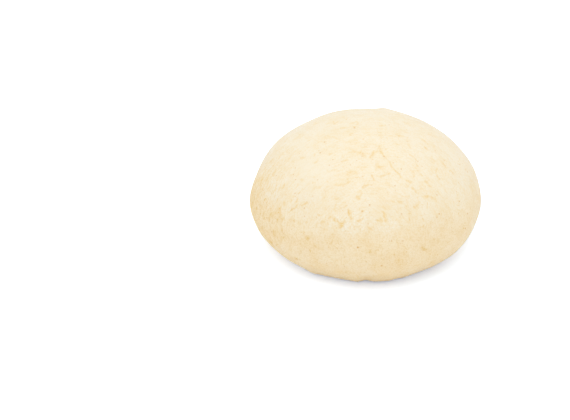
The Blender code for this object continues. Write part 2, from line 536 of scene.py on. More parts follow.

# %% [markdown]
# ## The stains that show
# The photograph shows a fine roof-shaped crease on the crown, well over a hundred short stains, most
# of them in a slight hollow, and some seventy pin-pricks where steam came out. They are listed as the
# camera sees them, and then laid on the skin under that spot. Listing them this way keeps the list
# easy to check against the picture.

# %% The marks on the front
# Both ends of each mark, in mm to the right of and above the dumpling's middle as the camera sees
# it, then its half width and depth in mm, and how tan it is.
MARKS_SEEN = (
    # the roof-shaped crease
    (5.2, 13.4, 6.0, 11.4, 0.28, 0.10, 0.8),
    (6.0, 11.4, 6.8, 10.6, 0.45, 0.10, 0.9),
    (6.8, 10.6, 8.1, 8.3, 0.30, 0.12, 0.8),
    (8.1, 8.3, 9.6, 6.6, 0.34, 0.13, 0.9),
    (9.6, 6.6, 10.8, 4.8, 0.42, 0.13, 1.1),
    (10.8, 4.8, 12.7, 2.6, 0.34, 0.12, 1.0),
    (12.7, 2.6, 13.7, 1.2, 0.36, 0.09, 0.9),
    (5.2, 13.4, 4.2, 11.6, 0.34, 0.08, 0.5),
    (4.2, 11.6, 3.4, 10.3, 0.75, 0.10, 0.9),
    (3.4, 10.3, 1.8, 8.9, 0.55, 0.09, 0.8),
    # the crown
    (-8.5, 9.4, -4.7, 11.4, 0.60, 0.06, 0.4),
    (-4.7, 11.4, -1.6, 10.2, 0.60, 0.07, 0.5),
    (-1.6, 10.4, -0.2, 9.4, 0.75, 0.14, 0.75),
    (0.2, 6.5, 1.8, 6.1, 1.10, 0.16, 0.95),
    (4.6, 6.1, 6.0, 4.9, 0.48, 0.09, 0.6),
    (6.5, 5.2, 4.2, 4.3, 0.48, 0.09, 0.6),
    (5.6, 17.6, 6.3, 17.0, 0.75, 0.06, 0.6),
    (5.8, 20.8, 7.8, 21.0, 0.45, 0.05, 0.6),
    (13.0, 17.2, 14.8, 16.8, 0.50, 0.06, 0.7),
    (21.0, 16.3, 23.2, 15.0, 0.42, 0.07, 0.7),
    (15.2, 22.2, 17.2, 21.3, 0.50, 0.06, 0.7),
    (11.5, 14.2, 12.8, 13.6, 0.42, 0.05, 0.5),
    (16.1, 13.9, 17.2, 12.5, 0.38, 0.06, 0.6),
    (23.5, 12.4, 23.9, 11.9, 0.55, 0.07, 0.8),
    (17.2, 9.8, 18.5, 9.3, 0.34, 0.07, 0.7),
    (18.5, 9.3, 19.7, 7.4, 0.36, 0.08, 0.8),
    (19.4, 6.4, 20.3, 5.3, 0.38, 0.06, 0.6),
    (20.5, 3.6, 22.0, 2.0, 0.34, 0.06, 0.6),
    (18.6, 3.4, 18.8, 1.0, 0.34, 0.05, 0.5),
    (25.5, 8.4, 26.8, 7.2, 0.60, 0.05, 0.5),
    (25.4, 5.2, 26.2, 2.8, 0.34, 0.06, 0.6),
    (27.8, 4.5, 27.3, 3.0, 0.45, 0.07, 0.8),
    (27.3, 2.6, 28.3, 0.6, 0.50, 0.08, 0.8),
    (29.3, 7.2, 31.3, 4.9, 0.34, 0.08, 0.9),
    (-12.9, 22.8, -11.8, 22.0, 0.42, 0.06, 0.6),
    (-11.8, 22.0, -10.4, 22.8, 0.42, 0.06, 0.6),
    (-9.2, 20.2, -7.7, 20.5, 0.60, 0.08, 0.8),
    (-5.8, 22.2, -3.4, 22.4, 0.40, 0.05, 0.5),
    (-3.4, 22.4, -2.9, 20.8, 0.45, 0.06, 0.6),
    (-3.9, 20.4, -3.2, 20.5, 0.70, 0.08, 0.7),
    (-6.2, 17.6, -5.2, 17.7, 0.60, 0.08, 0.6),
    (-15.8, 16.8, -13.0, 17.0, 0.50, 0.06, 0.5),
    (-13.0, 17.0, -10.2, 15.8, 0.50, 0.06, 0.4),
    (-8.8, 7.0, -6.9, 7.8, 0.44, 0.08, 0.8),
    (-24.7, 8.6, -23.4, 8.9, 0.45, 0.07, 0.8),
    (-19.8, 9.5, -19.4, 9.8, 0.48, 0.06, 0.6),
    (-14.2, 9.7, -13.3, 10.1, 0.38, 0.05, 0.5),
    (-19.5, 6.8, -18.4, 7.6, 0.34, 0.07, 0.7),
    # above and left of the middle
    (-14.8, 3.9, -13.6, 3.5, 0.42, 0.06, 0.5),
    (-13.6, 3.5, -11.3, 4.0, 0.42, 0.07, 0.6),
    (-6.6, 2.4, -5.3, 3.2, 0.70, 0.10, 0.8),
    (-5.3, 3.2, -3.5, 2.8, 0.65, 0.10, 0.8),
    (-6.7, 0.8, -6.9, -0.4, 0.36, 0.06, 0.6),
    (-11.2, -1.7, -8.6, -1.6, 0.42, 0.08, 0.6),
    (-8.6, -1.6, -6.3, -0.9, 0.50, 0.10, 0.9),
    (-15.2, -1.0, -14.4, -1.3, 0.42, 0.05, 0.5),
    (-20.0, -3.4, -18.2, -3.2, 0.34, 0.06, 0.5),
    (-18.2, -3.2, -16.6, -2.1, 0.34, 0.06, 0.5),
    (-31.6, -2.0, -33.0, -3.2, 0.55, 0.06, 0.6),
    (-26.1, -1.4, -26.8, -3.0, 0.38, 0.06, 0.6),
    (-35.0, 4.0, -35.8, 1.8, 0.70, 0.06, 0.6),
    (-32.4, 7.6, -33.4, 5.0, 0.50, 0.05, 0.5),
    (-24.8, 0.3, -24.1, 0.1, 0.60, 0.06, 0.5),
    (-20.1, 1.3, -19.7, 1.2, 0.42, 0.07, 0.7),
    (-20.1, -0.8, -19.6, -1.1, 0.45, 0.07, 0.7),
    (-3.5, -6.1, -2.3, -7.2, 0.50, 0.09, 1.0),
    (-1.5, -5.3, -2.2, -6.2, 0.40, 0.06, 0.6),
    (-11.8, -6.4, -10.4, -7.6, 1.25, 0.12, 0.6),
    (-1.0, -3.1, 0.0, -2.5, 0.50, 0.12, 1.0),
    (0.0, -2.5, 1.2, -1.9, 0.42, 0.10, 0.8),
    (2.6, 2.1, 3.6, -0.3, 0.36, 0.10, 0.9),
    (6.3, 1.1, 8.9, 2.6, 0.46, 0.09, 0.8),
    (4.6, -3.1, 5.5, -3.6, 0.50, 0.06, 0.5),
    # right of the middle
    (16.2, -0.4, 17.7, -0.8, 0.60, 0.09, 0.8),
    (16.0, -1.5, 16.4, -2.6, 0.40, 0.07, 0.6),
    (18.2, -3.0, 19.6, -3.7, 0.50, 0.09, 0.6),
    (19.6, -3.7, 20.9, -5.1, 0.48, 0.09, 0.8),
    (20.4, -3.5, 21.9, -3.0, 0.36, 0.06, 0.6),
    (23.6, -0.6, 24.1, -0.9, 0.55, 0.08, 0.8),
    (15.2, -6.6, 16.8, -6.6, 0.60, 0.07, 0.6),
    (22.8, -6.6, 24.4, -6.2, 0.50, 0.09, 0.9),
    (24.4, -6.2, 26.9, -7.1, 0.45, 0.08, 0.7),
    (19.1, -10.2, 20.0, -10.0, 0.80, 0.13, 0.8),
    (20.0, -10.0, 21.0, -8.9, 0.50, 0.11, 0.7),
    (10.4, -8.0, 10.9, -8.2, 0.45, 0.07, 0.7),
    (13.4, -8.4, 14.4, -8.6, 0.50, 0.07, 0.6),
    (7.4, -10.6, 9.0, -10.7, 1.00, 0.10, 0.6),
    (22.2, -15.2, 22.5, -15.5, 0.40, 0.07, 0.8),
    # the front, under the middle
    (-6.5, -11.7, -5.9, -13.6, 0.52, 0.14, 1.0),
    (-5.9, -13.6, -5.4, -15.1, 0.36, 0.12, 0.75),
    (-1.4, -12.0, -1.0, -12.1, 0.70, 0.14, 0.8),
    (-1.6, -12.9, -1.8, -13.4, 0.55, 0.10, 0.7),
    (-13.5, -14.6, -11.2, -15.9, 0.68, 0.14, 1.0),
    (-11.2, -15.9, -9.4, -16.8, 0.48, 0.13, 0.9),
    (-9.4, -16.8, -8.2, -16.3, 0.68, 0.14, 0.85),
    (-9.7, -18.1, -8.4, -17.1, 0.58, 0.12, 0.8),
    (-2.5, -15.9, -0.6, -14.6, 0.46, 0.09, 0.8),
    (1.4, -14.7, 2.8, -15.2, 0.50, 0.08, 0.7),
    (5.4, -15.2, 6.4, -15.9, 0.52, 0.08, 0.7),
    (6.9, -12.8, 7.5, -14.6, 0.46, 0.10, 0.7),
    (7.5, -14.6, 8.1, -16.3, 0.52, 0.10, 0.65),
    (1.2, -18.2, 2.2, -19.0, 0.38, 0.07, 0.7),
    (-3.5, -18.2, -2.0, -18.9, 0.95, 0.10, 0.5),
    (-11.9, -9.5, -12.3, -11.5, 0.46, 0.07, 0.6),
    (-13.4, -11.6, -12.8, -11.9, 0.45, 0.06, 0.5),
    (-17.9, -13.8, -17.3, -13.8, 0.50, 0.08, 0.8),
    (-16.9, -16.6, -16.0, -16.0, 0.50, 0.06, 0.5),
    (-20.4, -9.2, -20.1, -9.7, 0.42, 0.06, 0.6),
    (-24.5, -10.1, -22.6, -8.8, 0.50, 0.12, 1.0),
    (-26.4, -7.2, -26.8, -10.0, 0.42, 0.07, 0.6),
    (-27.0, -10.6, -29.9, -12.8, 0.36, 0.09, 0.8),
    (-31.2, -14.2, -32.4, -15.6, 0.36, 0.07, 0.7),
    (-27.4, -12.2, -26.6, -12.0, 0.52, 0.10, 0.9),
    (-28.0, -15.7, -26.0, -16.4, 0.42, 0.06, 0.5),
    # low on the side
    (-22.7, -22.7, -21.8, -22.9, 0.62, 0.12, 1.0),
    (-19.8, -25.6, -16.6, -26.7, 0.95, 0.12, 0.6),
    (-12.2, -20.6, -13.3, -22.6, 0.36, 0.06, 0.2),
    (-12.6, -23.4, -13.6, -25.2, 0.38, 0.06, 0.4),
    (1.0, -27.8, 2.2, -28.2, 1.10, 0.11, 0.5),
    (12.8, -31.4, 13.5, -32.6, 1.10, 0.11, 0.6),
    (16.0, -28.2, 16.6, -29.4, 0.60, 0.10, 0.1),
    (22.3, -26.6, 23.6, -26.8, 0.60, 0.09, 0.8),
    (12.4, -24.3, 12.7, -24.5, 0.38, 0.05, 0.7),
    (11.2, -29.2, 11.4, -29.3, 0.40, 0.05, 0.7),
    (-27.2, -30.8, -26.4, -30.8, 0.55, 0.08, 0.8),
    (-36.8, -24.2, -36.5, -24.6, 0.60, 0.08, 0.9),
    (25.4, -31.9, 26.2, -32.7, 0.80, 0.06, 0.5),
)
# Pin-pricks: mm to the right of and above the middle, half width in mm, and how brown.
PRICKS_SEEN = (
    (-4.2, 20.3, 0.42, 1.0),
    (-15.8, 14.8, 0.36, 1.0),
    (-17.5, 10.6, 0.36, 0.85),
    (-18.0, 11.4, 0.26, 0.6),
    (-14.0, 5.8, 0.34, 0.55),
    (-12.6, 7.9, 0.32, 0.7),
    (-6.9, 15.8, 0.28, 0.6),
    (-0.8, 15.9, 0.26, 0.6),
    (-1.3, 9.3, 0.34, 0.6),
    (-3.4, 7.6, 0.26, 0.6),
    (-5.8, 5.9, 0.28, 0.6),
    (-27.2, 4.7, 0.30, 0.6),
    (-28.0, 2.2, 0.32, 0.7),
    (-27.2, 0.2, 0.30, 0.7),
    (-18.5, 0.1, 0.28, 0.6),
    (-34.7, 1.8, 0.34, 0.8),
    (-39.6, -4.0, 0.32, 0.75),
    (-1.1, 1.4, 0.26, 0.6),
    (2.0, 14.8, 0.30, 0.7),
    (7.2, 9.2, 0.38, 0.55),
    (10.8, 6.7, 0.34, 0.45),
    (13.9, 4.3, 0.34, 0.75),
    (16.2, 14.9, 0.38, 0.45),
    (10.9, 18.5, 0.28, 0.6),
    (9.2, 21.5, 0.32, 0.7),
    (26.0, 17.0, 0.30, 0.6),
    (27.1, 11.5, 0.42, 0.5),
    (30.6, 7.7, 0.34, 0.6),
    (20.3, 7.3, 0.30, 0.7),
    (21.9, 5.3, 0.26, 0.6),
    (36.5, 6.1, 0.36, 0.75),
    (38.9, 4.0, 0.32, 0.75),
    (39.5, 3.3, 0.28, 0.7),
    (2.4, -2.1, 0.28, 0.35),
    (11.5, -2.2, 0.32, 0.7),
    (11.7, -4.1, 0.32, 0.45),
    (8.6, -4.9, 0.30, 0.35),
    (27.7, -5.7, 0.32, 0.75),
    (35.2, -4.4, 0.26, 0.6),
    (43.2, -5.6, 0.42, 0.8),
    (-20.4, -6.3, 0.40, 0.35),
    (-27.3, -5.2, 0.32, 0.75),
    (-27.3, -6.4, 0.26, 0.5),
    (-28.7, -11.3, 0.36, 0.4),
    (-23.7, -10.9, 0.32, 0.75),
    (-23.6, -14.1, 0.30, 0.5),
    (-32.8, -14.1, 0.26, 0.5),
    (-1.2, -12.1, 0.40, 0.55),
    (1.7, -9.6, 0.38, 0.7),
    (1.1, -17.0, 0.36, 0.45),
    (14.1, -13.1, 0.34, 0.55),
    (28.6, -13.1, 0.36, 0.9),
    (27.7, -14.5, 0.34, 0.65),
    (36.3, -8.2, 0.36, 1.0),
    (36.2, -9.9, 0.26, 0.6),
    (39.6, -13.0, 0.40, 0.9),
    (38.7, -18.7, 0.40, 0.9),
    (-36.4, -20.2, 0.38, 0.9),
    (-22.1, -22.8, 0.40, 0.8),
    (-10.5, -23.6, 0.34, 0.8),
    (-10.4, -28.2, 0.28, 0.6),
    (-2.9, -26.2, 0.44, 1.0),
    (10.2, -23.6, 0.30, 0.7),
    (9.4, -23.6, 0.24, 0.6),
    (14.6, -23.6, 0.38, 0.55),
    (13.7, -24.7, 0.26, 0.6),
    (11.3, -25.4, 0.30, 0.7),
    (13.3, -26.2, 0.30, 0.75),
    (5.6, -29.5, 0.24, 0.6),
    (6.4, -33.3, 0.40, 1.0),
    (18.0, -31.8, 0.36, 0.8),
    (-26.4, -30.9, 0.36, 0.8),
    (-21.2, -31.9, 0.30, 0.7),
    (-8.1, -33.8, 0.30, 0.6),
    (-7.6, -35.5, 0.30, 0.6),
)
print("marks on the front:", len(MARKS_SEEN), "and pin-pricks:", len(PRICKS_SEEN))

# %% [markdown]
# ## Laying marks on the skin
# A hollow is real shape, so it moves the net's points. A stain as fine as a hair is narrower than
# the net's squares and would blur if its colour were kept on the points. So each point keeps the way
# to the stain near it instead. That way changes evenly from point to point, and the material can
# work out from it where the stain's edge runs, however fine it is.
#
# Halfway between two stains the way would jump from one to the other, and the material would see a
# false third one there. So the stains are kept in a few layers, and each goes into one where it has
# the skin round it to itself. Wide, faint stains need none of this: they are a plain blush that the
# points keep as a number.

# %% Where the camera sees the skin
def seen(points):
    """Where the camera sees each point, in metres right of and above the dumpling's middle."""
    from_middle = points - np.array((0.0, 0.0, HEIGHT / 2.0))
    toward = np.array(TOWARD_CAMERA)
    upward = np.cross(toward, (1.0, 0.0, 0.0))
    away = WIDTH * CAMERA_WIDTHS_AWAY
    nearer = away / (away - from_middle @ toward)
    return np.stack((from_middle[:, 0], from_middle @ upward), axis=1) * nearer[:, None]


in_picture = seen(dough)
print("seen, mm:", [round(float(side) / MM, 1) for side in np.ptp(in_picture, axis=0)])

# %% Layers of stains
KNOWN_ROUND = 1.1 * MM  # how far round a stain the points know the way to it
KNOWN_EDGE = 0.4 * MM  # the band over which they forget it
STAIN_WIDTHS = 1.5  # how far a stain reaches from its middle, in half widths
FAR = 9.0  # the way to no stain at all, in half widths


class Stains:
    """For each point the way to the stain near it, in half widths, and how strong that one is."""

    def __init__(self, count):
        self.way = np.full((count, 3), FAR)
        self.distance = np.full(count, FAR)
        self.strength = np.zeros(count)
        self.whose = np.zeros(count, dtype=int)

    def has_room(self, near, number):
        """Whether all these points are free or belong to the stain of that number."""
        return not np.any((self.whose[near] != 0) & (self.whose[near] != number))

    def add(self, near, way, half_width, strength, number):
        """Takes a stain in wherever it is nearer than what is known."""
        distance = np.linalg.norm(way, axis=1)
        closer = distance / half_width < self.distance[near]
        taken = near[closer]
        reach = STAIN_WIDTHS * half_width + KNOWN_ROUND
        self.way[taken] = way[closer] / half_width
        self.distance[taken] = distance[closer] / half_width
        self.strength[taken] = strength * ease((reach - distance[closer]) / KNOWN_EDGE)
        self.whose[taken] = number


def lay(layers, near, way, half_width, strength, number):
    """Puts a stain in the first layer that has room for it, and says whether one had."""
    known = np.linalg.norm(way, axis=1) < STAIN_WIDTHS * half_width + KNOWN_ROUND
    for layer in layers:
        if layer.has_room(near[known], number):
            layer.add(near[known], way[known], half_width, strength, number)
            return True
    return False


print("the way to a stain is known, mm:", round(KNOWN_ROUND / MM, 1), "round it")

# %% A skin that takes marks
TAN_LAYERS = 3
BROWN_LAYERS = 2
WANDER = 0.15 * MM  # how far a mark strays from its straight line
WANDER_LENGTHS = (3.0, 7.0)  # of the waves that it strays in, in mm
FACING = 0.05  # how squarely the skin has to face the camera to be seen
SKIN_REACH = 4.0 * MM  # how far above or below a mark's middle the skin can be and still be marked
GROOVE_WIDTHS = 2.0  # how far a groove reaches from its middle, in half widths
END_FADE = 0.6  # how much shallower it is at its ends
WIDE = 0.85 * MM  # a stain with a half width over this is blush


class Skin:
    """The dough's points, with how far marks sink each one and the stains on them."""

    def __init__(self, points, outward, in_picture):
        self.points = points
        strays = [many_waves(points, *WANDER_LENGTHS, seed) for seed in (21, 22, 23)]
        self.wandering = points + np.stack(strays, axis=1) * WANDER
        self.sink = np.zeros(len(points))
        self.tan = [Stains(len(points)) for _ in range(TAN_LAYERS)]
        self.brown = [Stains(len(points)) for _ in range(BROWN_LAYERS)]
        self.blush = np.zeros(len(points))
        self.stains = 0
        self.left_out = 0
        self.turned = outward @ np.array(TOWARD_CAMERA)
        self.in_picture = in_picture

    def under(self, right, up):
        """The skin's point under a spot of the picture, given in mm, and the net's nearest one."""
        spot = np.array((right, up)) * MM
        gap = np.linalg.norm(self.in_picture - spot, axis=1)
        # Points that face away are put a metre off.
        nearest = np.argsort(np.where(self.turned > FACING, gap, 1.0))[:3]
        # The spot lies between three points of the net: their mean, weighted to hit it exactly.
        corners = np.vstack((self.in_picture[nearest].T, np.ones(3)))
        shares = np.linalg.lstsq(corners, np.append(spot, 1.0), rcond=None)[0]
        return shares @ self.points[nearest], int(nearest[0])

    def next_stain(self):
        """A number for one more stain."""
        self.stains += 1
        return self.stains

    def press(self, start, end, outward, half_width, depth, tan, number):
        """Sinks a soft groove from start to end, deepest along its middle, and stains it."""
        middle = (start + end) / 2.0
        reach = np.linalg.norm(end - start) / 2.0 + GROOVE_WIDTHS * half_width + KNOWN_ROUND
        near = np.flatnonzero(np.abs(self.wandering - middle).max(axis=1) < reach)
        offset = self.wandering[near] - start
        level = offset @ outward
        near, offset, level = (each[np.abs(level) < SKIN_REACH] for each in (near, offset, level))
        offset -= level[:, None] * outward
        run = (end - start) - ((end - start) @ outward) * outward
        share = np.clip(offset @ run / max(run @ run, 1e-12), 0.0, 1.0)
        way = offset - share[:, None] * run
        gap = np.linalg.norm(way, axis=1) / half_width
        self.sink[near] += depth * np.exp(-gap * gap) * (1.0 - END_FADE * (2.0 * share - 1.0) ** 4)
        if half_width > WIDE:
            blush = tan * (1.0 - ease(gap / STAIN_WIDTHS))
            self.blush[near] = np.maximum(self.blush[near], blush)
        elif not lay(self.tan, near, way, half_width, tan, number):
            self.left_out += 1

    def prick(self, middle, half_width, brown):
        """Browns one round spot, whatever the wandering of the longer marks."""
        way = self.points - middle
        reach = GROOVE_WIDTHS * half_width + KNOWN_ROUND
        near = np.flatnonzero(np.abs(way).max(axis=1) < reach)
        if not lay(self.brown, near, way[near], half_width, brown, self.next_stain()):
            self.left_out += 1


skin = Skin(dough, outward, in_picture)
print("layers of stains:", TAN_LAYERS, "tan and", BROWN_LAYERS, "brown")

# %% The listed marks, laid on the skin
ends = {}
for right_1, up_1, right_2, up_2, half_width, depth, tan in MARKS_SEEN:
    (start, near_start), (end, near_end) = skin.under(right_1, up_1), skin.under(right_2, up_2)
    way_out = outward[near_start] + outward[near_end]
    way_out /= np.linalg.norm(way_out)
    # Marks that share an end are one stain.
    number = ends.get((right_1, up_1)) or ends.get((right_2, up_2)) or skin.next_stain()
    ends[right_1, up_1] = ends[right_2, up_2] = number
    skin.press(start, end, way_out, half_width * MM, depth * MM, tan, number)
for right, up, half_width, brown in PRICKS_SEEN:
    skin.prick(skin.under(right, up)[0], half_width * MM, brown)
print("deepest mark, mm:", round(float(skin.sink.max()) / MM, 2), "without room:", skin.left_out)

# %% [markdown]
# ## Wrinkles and pores all round
# The same kinds of mark go all over the skin, the back too: short wrinkles, soft hollows and small
# pores. Scattering them with a seeded draw is quicker than placing each, and a plain random heading
# suits dough, which shrinks alike in every direction.

# %% The scattered marks
# How many, then the least and most of: length, half width, depth (all mm) and tan.
SCATTERED = {
    "wrinkle": (300, (0.8, 3.2), (0.34, 0.55), (0.025, 0.075), (0.20, 0.90)),
    "hollow": (150, (0.0, 1.4), (0.9, 2.0), (0.03, 0.08), (0.08, 0.30)),
    "pore": (150, (0.0, 0.2), (0.34, 0.48), (0.05, 0.14), (0.30, 0.90)),
}
MARKS_ABOVE = 1.5 * MM  # the flat foot takes no scattered marks
FRONT_SHARE = 0.3  # how much of its tan one keeps on the front, which has its own list
FRONT_TURN = (0.0, 0.45)  # how squarely the skin faces the camera where the front begins and is full
draw = np.random.default_rng(31)
open_skin = np.flatnonzero(dough[:, 2] > MARKS_ABOVE)
for kind, (count, lengths, half_widths, depths, tans) in SCATTERED.items():
    for _ in range(count):
        middle = draw.choice(open_skin)
        heading = np.cross(outward[middle], draw.normal(size=3))
        heading *= draw.uniform(*lengths) / 2.0 * MM / np.linalg.norm(heading)
        start, end = dough[middle] - heading, dough[middle] + heading
        half_width, depth, tan = (draw.uniform(*each) for each in (half_widths, depths, tans))
        front = ease((skin.turned[middle] - FRONT_TURN[0]) / (FRONT_TURN[1] - FRONT_TURN[0]))
        tan *= 1.0 - (1.0 - FRONT_SHARE) * front
        number = skin.next_stain()
        skin.press(start, end, outward[middle], half_width * MM, depth * MM, tan, number)
    print(kind, "marks:", count)

# %% [markdown]
# ## Creases and pin-pricks on the other sides
# The front's creases are chains of short straight marks that turn a little at each joint. The other
# sides get chains of the same kind, drawn at random instead of listed, and about as many pin-pricks,
# so that the dumpling looks alike from all round.

# %% The creases and pin-pricks that aren't listed
CREASES = 105
CREASE_PARTS = 3  # at the most
PART_LENGTHS = (0.8, 2.6)  # this and the two below: the least and the most, in mm
CREASE_HALF_WIDTHS = (0.34, 0.66)
CREASE_DEPTHS = (0.05, 0.13)
CREASE_TANS = (0.30, 0.85)
CREASE_TILT = 0.8  # radians, how far from level one usually starts
CREASE_TURN = 0.9  # radians, at the most, from one part to the next
PRICKS = 80
PRICK_HALF_WIDTHS = (0.26, 0.42)  # mm
PRICK_BROWNS = (0.4, 1.0)
UNSEEN_TURN = 0.12  # skin that faces the camera less squarely than this has no listed marks
draw = np.random.default_rng(37)
unseen_skin = np.flatnonzero((dough[:, 2] > MARKS_ABOVE) & (skin.turned < UNSEEN_TURN))


def way_along(point, angle):
    """A unit step along the skin, level at an angle of 0."""
    level = np.cross((0.0, 0.0, 1.0), outward[point])
    level /= max(np.linalg.norm(level), 1e-9)
    return level * math.cos(angle) + np.cross(outward[point], level) * math.sin(angle)


for _ in range(CREASES):
    point = draw.choice(unseen_skin)
    angle = draw.normal(scale=CREASE_TILT)
    half_width, depth = draw.uniform(*CREASE_HALF_WIDTHS), draw.uniform(*CREASE_DEPTHS)
    number = skin.next_stain()
    for _ in range(draw.integers(1, CREASE_PARTS, endpoint=True)):
        start = dough[point]
        end = start + way_along(point, angle) * draw.uniform(*PART_LENGTHS) * MM
        tan = draw.uniform(*CREASE_TANS)
        skin.press(start, end, outward[point], half_width * MM, depth * MM, tan, number)
        point = int(np.argmin(np.linalg.norm(dough - end, axis=1)))
        angle += draw.uniform(-CREASE_TURN, CREASE_TURN)
for _ in range(PRICKS):
    half_width, brown = draw.uniform(*PRICK_HALF_WIDTHS), draw.uniform(*PRICK_BROWNS)
    skin.prick(dough[draw.choice(unseen_skin)], half_width * MM, brown)
print("creases:", CREASES, "and pin-pricks:", PRICKS, "on the other sides")
print("stains:", skin.stains, "of which without room:", skin.left_out)

# %% [markdown]
# ## The skin as one mesh
# Everything is now known for each point: where the dough is, which way is out, and how far the marks
# sink it. The points move once. What the material needs is kept on the mesh, where it can read it:
# for each layer of stains the way to the one nearby and how strong it is, and how much blush there
# is.

# %% Moving the points
SLOW_HEIGHT = 0.016 * MM  # of the small waves
QUICK_HEIGHT = 0.006 * MM
PRESSED = 0.35  # how much of its listed depth a mark is really sunk
calm = ease(dough[:, 2] / RELIEF_FOOT)
lift = (slow * SLOW_HEIGHT + quick * QUICK_HEIGHT - skin.sink * PRESSED) * calm
finished = dough + outward * lift[:, None]
shape_skin(finished)
mesh.shade_smooth()
print("skin, mm:", [round(side / MM, 2) for side in finished.max(axis=0) - finished.min(axis=0)])

# %% Keeping the stains on the mesh
def keep_on_mesh(name, values):
    kind = "FLOAT_VECTOR" if values.ndim == 2 else "FLOAT"
    layer = mesh.attributes.new(name=name, type=kind, domain="POINT")
    layer.data.foreach_set("vector" if values.ndim == 2 else "value", values.ravel())


for name, layers in (("tan", skin.tan), ("brown", skin.brown)):
    for number, stains in enumerate(layers):
        keep_on_mesh(f"{name}_{number}", stains.strength * calm)
        keep_on_mesh(f"way_to_{name}_{number}", stains.way)
keep_on_mesh("blush", skin.blush * calm)
skin_piece = bpy.data.objects.new("dough_skin", mesh)
bpy.context.scene.collection.objects.link(skin_piece)
print("kept on the mesh:", 2 * (TAN_LAYERS + BROWN_LAYERS) + 1, "values for each point")

# %% [markdown]
# ## Fibres that ring an axis
# The skin stretched as the dough rose, which left fine fibres in it. In the photograph they run in
# rings round an axis that leans to the viewer. Noise has no direction of its own. But where places
# are measured in long steps along the rings and in short ones across them, the same noise comes out
# as fibres. They wobble a little, because the places are shifted by a slower noise first. The sums
# are done by nodes too, which takes a few more helpers.

# %% Sums and noise
def reckon(tree, how, *values):
    """A Math node over sockets and plain numbers."""
    node = tree.nodes.new("ShaderNodeMath")
    node.operation = how
    for socket, value in zip(node.inputs, values):
        feed(tree, socket, value)
    return node.outputs["Value"]


def reckon_vector(tree, how, *values):
    """A Vector Math node over sockets and plain vectors."""
    node = tree.nodes.new("ShaderNodeVectorMath")
    node.operation = how
    for socket, value in zip(node.inputs, values):
        feed(tree, socket, value)
    return node.outputs["Value" if how in ("DOT_PRODUCT", "LENGTH") else "Vector"]


def grow(tree, vector, amount):
    """A vector made longer or shorter by an amount."""
    node = tree.nodes.new("ShaderNodeVectorMath")
    node.operation = "SCALE"
    feed(tree, node.inputs["Vector"], vector)
    feed(tree, node.inputs["Scale"], amount)
    return node.outputs["Vector"]


def noise(tree, place, size, detail=2.0, roughness=0.5, output="Fac"):
    """Noise whose lumps are about size metres across."""
    node = tree.nodes.new("ShaderNodeTexNoise")
    node.inputs["Scale"].default_value = 1.0 / size
    node.inputs["Detail"].default_value = detail
    node.inputs["Roughness"].default_value = roughness
    tree.links.new(place, node.inputs["Vector"])
    return node.outputs[output]


def stray(tree, place, size, amount, detail=2.0):
    """A vector that strays from nothing by up to half the amount, in lumps of about that size."""
    draws = noise(tree, place, size, detail, output="Color")
    centred = reckon_vector(tree, "SUBTRACT", draws, (0.5, 0.5, 0.5))
    return reckon_vector(tree, "MULTIPLY", centred, (amount, amount, amount))


print("helpers for sums and noise are ready")

# %% Places along the rings
COMB_LEAN = 72.0 * DEGREE  # how far the axis leans to the viewer
COMB_MIDDLE = (0.0, 0.0, 13.0 * MM)  # a point that the axis runs through
COMB_AXIS = (0.0, -math.sin(COMB_LEAN), math.cos(COMB_LEAN))
COMB_SIDE = (0.0, math.cos(COMB_LEAN), math.sin(COMB_LEAN))  # square to it, upward
COMB_RIGHT = (1.0, 0.0, 0.0)
FIBRE_LENGTH = 3.4 * MM
FIBRE_WIDTH = 0.85 * MM
WOBBLE = 5.0 * MM  # how widely the fibres wobble
WOBBLE_SIZE = 11.0 * MM


def along_rings(tree, place):
    """Places counted in fibre lengths along the rings and in fibre widths across them."""
    place = reckon_vector(tree, "ADD", place, stray(tree, place, WOBBLE_SIZE, WOBBLE, detail=1.0))
    place = reckon_vector(tree, "SUBTRACT", place, COMB_MIDDLE)
    right = reckon_vector(tree, "DOT_PRODUCT", place, COMB_RIGHT)
    side = reckon_vector(tree, "DOT_PRODUCT", place, COMB_SIDE)
    along = reckon_vector(tree, "DOT_PRODUCT", place, COMB_AXIS)
    squares = reckon(tree, "ADD", reckon(tree, "POWER", right, 2.0), reckon(tree, "POWER", side, 2.0))
    from_ring_to_ring = reckon(tree, "SUBTRACT", reckon(tree, "SQRT", squares), along)
    together = tree.nodes.new("ShaderNodeCombineXYZ")
    feed(tree, together.inputs["X"], reckon(tree, "DIVIDE", right, FIBRE_LENGTH))
    feed(tree, together.inputs["Y"], reckon(tree, "DIVIDE", side, FIBRE_LENGTH))
    feed(tree, together.inputs["Z"], reckon(tree, "DIVIDE", from_ring_to_ring, FIBRE_WIDTH))
    return together.outputs["Vector"]


print("fibres, mm:", round(FIBRE_LENGTH / MM, 2), "long and", round(FIBRE_WIDTH / MM, 2), "wide")

# %% [markdown]
# ## Mottle
# Plain steamed dough is cream, never one flat colour. It has slow patches, soft clouds, fibres and a
# fine grain, all of the same tan. Each is a noise of its own size. A group adds them up to one mask,
# so that the skin can use it twice with its own amounts: all over, and again on the left side.

# %% A group for the mottle
# The size of the lumps, the noise's detail and roughness, and from where to where it turns tan. The
# fibres' places are counted in fibres already.
MOTTLE_LAYERS = {
    "Patches": (8.0 * MM, 2.0, 0.50, 0.35, 0.68),
    "Clouds": (3.4 * MM, 5.0, 0.72, 0.44, 0.76),
    "Fibres": (1.0, 2.0, 0.50, 0.45, 0.72),
    "Grain": (0.6 * MM, 2.0, 0.70, 0.38, 0.74),
}


